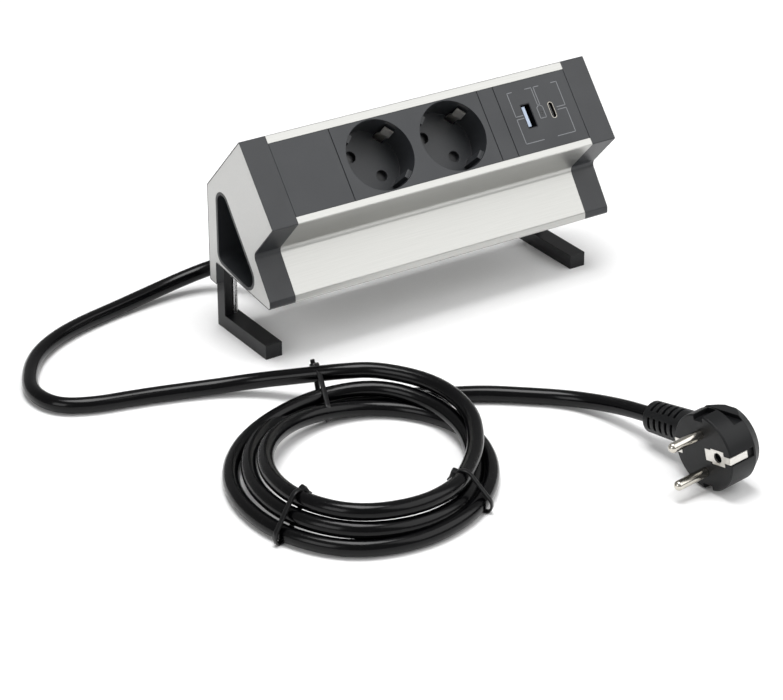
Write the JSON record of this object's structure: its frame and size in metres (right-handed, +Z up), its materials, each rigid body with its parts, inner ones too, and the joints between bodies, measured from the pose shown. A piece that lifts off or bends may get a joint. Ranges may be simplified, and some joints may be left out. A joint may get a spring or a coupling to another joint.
{
  "type": "desk power strip",
  "caption": "Slanted aluminium desk power strip with earthed sockets, USB charger, sliding desk clamps, cable duct, coiled cord and angled plug.",
  "frame": {"origin": "centre of the strip's length, midway between its front nose and the clamp arms' backs, at the underside of the clamp arms", "axes": "+X along the strip to its right end as a seated user sees it, -Y towards the user, +Z up"},
  "size_m": [0.3238, 0.3299, 0.1145],
  "materials": {
    "extrusion": "brushed and anodised",
    "side_plate": "satin anodised",
    "anthracite": "fine texture",
    "shutter_black": "satin",
    "white_insulation": "satin",
    "clip_steel": "nickel plated",
    "brass": "bare",
    "usb_steel": "satin",
    "light_pipe": "clear",
    "board": "solder mask",
    "transformer": "taped",
    "capacitor": "sleeved",
    "wire": "insulation",
    "arm_black": "satin black",
    "screw_steel": "zinc plated",
    "cord_black": "glossy PVC",
    "tie_black": "twist tie",
    "plug_black": "fine texture",
    "pin_nickel": "nickel plated"
  },
  "bodies": {
    "housing": {"housing_profile": "extrusion", "end_cap_left": "anthracite", "end_cap_right": "anthracite", "side_plate_left": "side_plate", "side_plate_right": "side_plate", "end_cap_screws": "screw_steel", "blank_cover": "anthracite", "socket_insert": "anthracite", "spacer_cover": "anthracite", "usb_module": "anthracite", "contact_carrier": "white_insulation", "earth_strip": "clip_steel", "live_bus_bar": "brass", "neutral_bus_bar": "brass", "usb_a_shell": "usb_steel", "usb_a_tongue": "shutter_black", "usb_c_shell": "usb_steel", "usb_c_tongue": "shutter_black", "status_light_pipe": "light_pipe", "charger_board": "board", "charger_transformer": "transformer", "charger_capacitors": "capacitor", "terminal_block": "white_insulation", "inner_wires": "wire", "clamp_insert_left": "brass", "clamp_insert_right": "brass", "cord_outlet_relief": "cord_black", "cord_to_coil": "cord_black", "cord_coil": "cord_black", "cord_to_plug": "cord_black", "plug_body": "plug_black", "plug_pins": "pin_nickel", "plug_earth_contact": "clip_steel", "shutter_spring_1": "clip_steel", "shutter_spring_2": "clip_steel", "cord_tie_1": "tie_black", "cord_tie_2": "tie_black", "cord_tie_3": "tie_black"},
    "clamp_left": {"clamp_arm_left": "arm_black"},
    "clamp_right": {"clamp_arm_right": "arm_black"},
    "screw_left": {"clamp_screw_left": "screw_steel"},
    "screw_right": {"clamp_screw_right": "screw_steel"},
    "shutter_left": {"shutter_1": "shutter_black"},
    "shutter_right": {"shutter_2": "shutter_black"}
  },
  "joints": [
    {"name": "clamp_slide_left", "type": "slide", "parent": "housing", "child": "clamp_left", "axis": [0, 0, 1], "range_m": [-0.016, 0.017]},
    {"name": "clamp_slide_right", "type": "slide", "parent": "housing", "child": "clamp_right", "axis": [0, 0, 1], "range_m": [-0.016, 0.017]},
    {"name": "screw_turn_left", "type": "hinge", "parent": "clamp_left", "child": "screw_left", "pos_m": [-0.0928, 0.0266, 0.002], "axis": [0, 0, 1], "range_deg": [-11530, 12250]},
    {"name": "screw_turn_right", "type": "hinge", "parent": "clamp_right", "child": "screw_right", "pos_m": [0.0928, 0.0266, 0.002], "axis": [0, 0, 1], "range_deg": [-11530, 12250]},
    {"name": "shutter_turn_left", "type": "hinge", "parent": "housing", "child": "shutter_left", "pos_m": [-0.032, -0.0013, 0.083], "axis": [0, -0.7621, 0.6475], "range_deg": [0, 45], "stiffness_Nm_per_rad": 0.004, "deforming": ["shutter_spring_1"]},
    {"name": "shutter_turn_right", "type": "hinge", "parent": "housing", "child": "shutter_right", "pos_m": [0.012, -0.0013, 0.083], "axis": [0, -0.7621, 0.6475], "range_deg": [0, 45], "stiffness_Nm_per_rad": 0.004, "deforming": ["shutter_spring_2"]}
  ],
  "couplings": [
    {"joint": "screw_turn_left", "follows": "clamp_slide_left", "rad_per_m": 12566},
    {"joint": "screw_turn_right", "follows": "clamp_slide_right", "rad_per_m": 12566}
  ]
}
